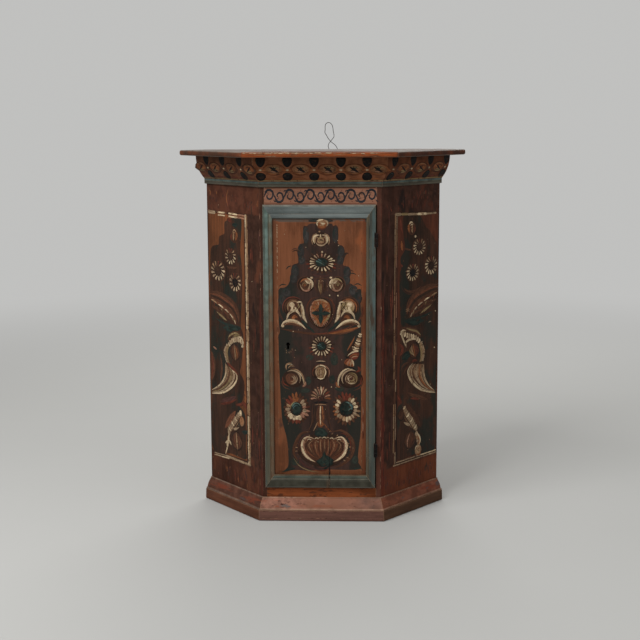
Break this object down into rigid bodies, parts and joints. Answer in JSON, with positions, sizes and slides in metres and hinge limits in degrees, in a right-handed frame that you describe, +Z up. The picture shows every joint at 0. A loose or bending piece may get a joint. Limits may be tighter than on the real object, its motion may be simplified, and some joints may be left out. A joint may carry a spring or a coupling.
{
  "type": "corner cupboard",
  "caption": "Hanging corner cupboard: painted carcass with a flat front, canted sides and two back walls, overhanging top, cornice, base moulding, hinged door with a rim lock, inner shelves.",
  "frame": {"origin": "middle of the bounding box, at the level of the foot", "axes": "+X to the viewer's right along the flat front, +Y from the front to the room's corner, +Z up"},
  "size_m": [0.7792, 0.6126, 1.0744],
  "materials": {
    "dark_red_paint": "old distemper paint, dark red-brown, worn and lightly waxed",
    "tan_paint": "old distemper paint, pinkish tan with dark painted scrolls",
    "red_brown_paint": "old distemper paint, red-brown, worn",
    "cornice_paint": "old distemper paint, brown with painted lens shapes",
    "purple_brown_paint": "old distemper paint, purple-brown, scuffed",
    "top_board_paint": "thin brown paint, worn to bare wood along the edges",
    "blue_green_paint": "old distemper paint, grey blue-green, worn",
    "orange_paint": "old distemper paint, orange-brown with painted ornament",
    "bare_pine": "bare pine, darkened with age",
    "back_pine": "rough-sawn bare pine, darkened with age",
    "forged_iron": "forged iron, blackened, matt",
    "iron_wire": "drawn iron wire, dark and dull",
    "nail_iron": "hand-made iron nails, rusty brown"
  },
  "bodies": {
    "carcass": {"side_board_left": "dark_red_paint", "side_board_right": "dark_red_paint", "frieze_board": "tan_paint", "bottom_rail": "red_brown_paint", "door_stop": "bare_pine", "bottom_board_front": "bare_pine", "bottom_board_rear": "bare_pine", "ceiling_board_front": "bare_pine", "ceiling_board_rear": "bare_pine", "shelf_lower_front": "bare_pine", "shelf_lower_rear": "bare_pine", "shelf_upper_front": "bare_pine", "shelf_upper_rear": "bare_pine", "back_plank_left_1": "back_pine", "back_plank_left_2": "back_pine", "back_plank_left_3": "back_pine", "back_plank_right_1": "back_pine", "back_plank_right_2": "back_pine", "back_plank_right_3": "back_pine", "corner_post": "bare_pine", "top_board": "top_board_paint", "cornice_front": "cornice_paint", "cornice_left": "cornice_paint", "cornice_right": "cornice_paint", "base_moulding_front": "purple_brown_paint", "base_moulding_left": "purple_brown_paint", "base_moulding_right": "purple_brown_paint", "hinge_jamb_leaf_top": "forged_iron", "hinge_jamb_leaf_bottom": "forged_iron", "hinge_pin_top": "forged_iron", "hinge_pin_bottom": "forged_iron", "lock_keeper": "forged_iron", "hanging_wire": "iron_wire", "back_nails": "nail_iron", "top_nails": "nail_iron"},
    "door": {"door_plank_left": "orange_paint", "door_plank_right": "orange_paint", "door_moulding_top": "blue_green_paint", "door_moulding_bottom": "blue_green_paint", "door_moulding_left": "blue_green_paint", "door_moulding_right": "blue_green_paint", "door_batten_top": "bare_pine", "door_batten_bottom": "bare_pine", "hinge_door_leaf_top": "forged_iron", "hinge_door_leaf_bottom": "forged_iron", "lock_case": "forged_iron", "lock_stud": "forged_iron", "lock_key_post": "forged_iron", "lock_spring": "forged_iron", "batten_nails": "nail_iron", "lock_nails": "forged_iron"},
    "bolt": {"lock_bolt": "forged_iron"}
  },
  "joints": [
    {"name": "door_hinge", "type": "hinge", "parent": "carcass", "child": "door", "pos_m": [0.14775, -0.22532, 0.482], "axis": [0, 0, 1], "range_deg": [0, 180]},
    {"name": "bolt_slide", "type": "slide", "parent": "door", "child": "bolt", "axis": [-1, 0, 0], "range_m": [0, 0.012]}
  ]
}
